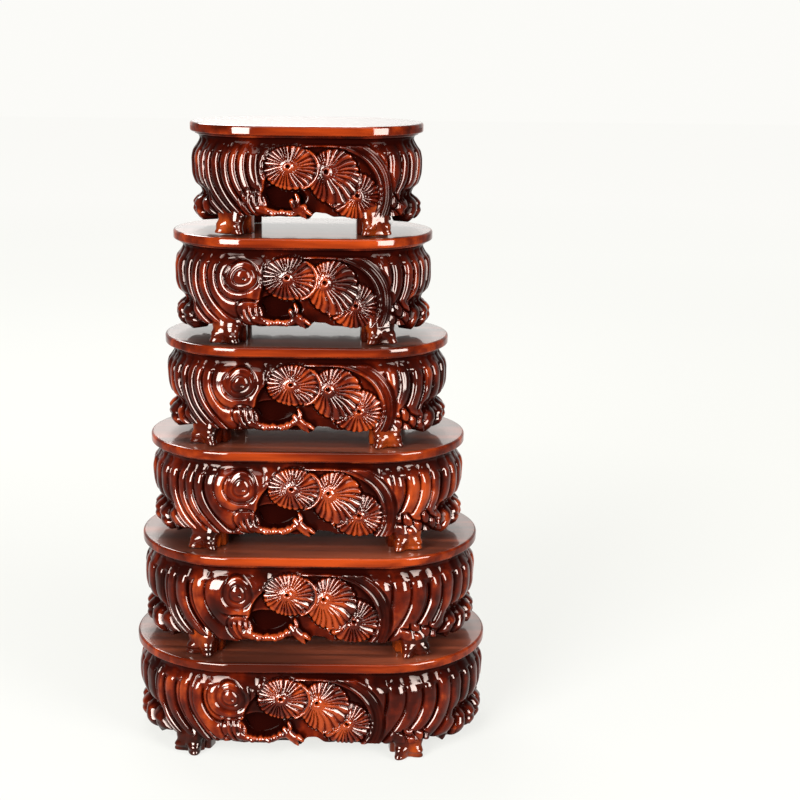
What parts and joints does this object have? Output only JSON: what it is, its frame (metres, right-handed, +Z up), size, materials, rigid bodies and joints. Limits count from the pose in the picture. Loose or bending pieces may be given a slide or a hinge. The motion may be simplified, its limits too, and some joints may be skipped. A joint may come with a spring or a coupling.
{
  "type": "carved wood display stand set",
  "caption": "Graduated set of oval carved wood display stands, stacked; each lifts off and shows an ornament on its flat top board.",
  "frame": {"origin": "on the floor under the middle of the lowest stand", "axes": "+Z up through the stack, +X to the right along the long side, and the fully carved front faces -Y"},
  "size_m": [0.24, 0.144, 0.4165],
  "materials": {
    "board_wood": "clear glossy lacquer over straight-grained red-brown hardwood",
    "carved_wood": "glossy lacquer over carved wood, orange-brown on the ridges and near black in the grooves",
    "leg_wood": "glossy dark lacquer over carved wood"
  },
  "bodies": {
    "tier1": {"tier1_top_board": "board_wood", "tier1_front_apron": "carved_wood", "tier1_back_apron": "carved_wood", "tier1_left_end_apron": "carved_wood", "tier1_right_end_apron": "carved_wood", "tier1_front_left_leg": "leg_wood", "tier1_front_right_leg": "leg_wood", "tier1_back_left_leg": "leg_wood", "tier1_back_right_leg": "leg_wood"},
    "tier2": {"tier2_top_board": "board_wood", "tier2_front_apron": "carved_wood", "tier2_back_apron": "carved_wood", "tier2_left_end_apron": "carved_wood", "tier2_right_end_apron": "carved_wood", "tier2_front_left_leg": "leg_wood", "tier2_front_right_leg": "leg_wood", "tier2_back_left_leg": "leg_wood", "tier2_back_right_leg": "leg_wood"},
    "tier3": {"tier3_top_board": "board_wood", "tier3_front_apron": "carved_wood", "tier3_back_apron": "carved_wood", "tier3_left_end_apron": "carved_wood", "tier3_right_end_apron": "carved_wood", "tier3_front_left_leg": "leg_wood", "tier3_front_right_leg": "leg_wood", "tier3_back_left_leg": "leg_wood", "tier3_back_right_leg": "leg_wood"},
    "tier4": {"tier4_top_board": "board_wood", "tier4_front_apron": "carved_wood", "tier4_back_apron": "carved_wood", "tier4_left_end_apron": "carved_wood", "tier4_right_end_apron": "carved_wood", "tier4_front_left_leg": "leg_wood", "tier4_front_right_leg": "leg_wood", "tier4_back_left_leg": "leg_wood", "tier4_back_right_leg": "leg_wood"},
    "tier5": {"tier5_top_board": "board_wood", "tier5_front_apron": "carved_wood", "tier5_back_apron": "carved_wood", "tier5_left_end_apron": "carved_wood", "tier5_right_end_apron": "carved_wood", "tier5_front_left_leg": "leg_wood", "tier5_front_right_leg": "leg_wood", "tier5_back_left_leg": "leg_wood", "tier5_back_right_leg": "leg_wood"},
    "tier6": {"tier6_top_board": "board_wood", "tier6_front_apron": "carved_wood", "tier6_back_apron": "carved_wood", "tier6_left_end_apron": "carved_wood", "tier6_right_end_apron": "carved_wood", "tier6_front_left_leg": "leg_wood", "tier6_front_right_leg": "leg_wood", "tier6_back_left_leg": "leg_wood", "tier6_back_right_leg": "leg_wood"}
  },
  "joints": [
    {"name": "lift_tier2", "type": "slide", "parent": "tier1", "child": "tier2", "axis": [0, 0, 1], "range_m": [0, 0.08]},
    {"name": "lift_tier3", "type": "slide", "parent": "tier2", "child": "tier3", "axis": [0, 0, 1], "range_m": [0, 0.08]},
    {"name": "lift_tier4", "type": "slide", "parent": "tier3", "child": "tier4", "axis": [0, 0, 1], "range_m": [0, 0.08]},
    {"name": "lift_tier5", "type": "slide", "parent": "tier4", "child": "tier5", "axis": [0, 0, 1], "range_m": [0, 0.08]},
    {"name": "lift_tier6", "type": "slide", "parent": "tier5", "child": "tier6", "axis": [0, 0, 1], "range_m": [0, 0.08]}
  ]
}
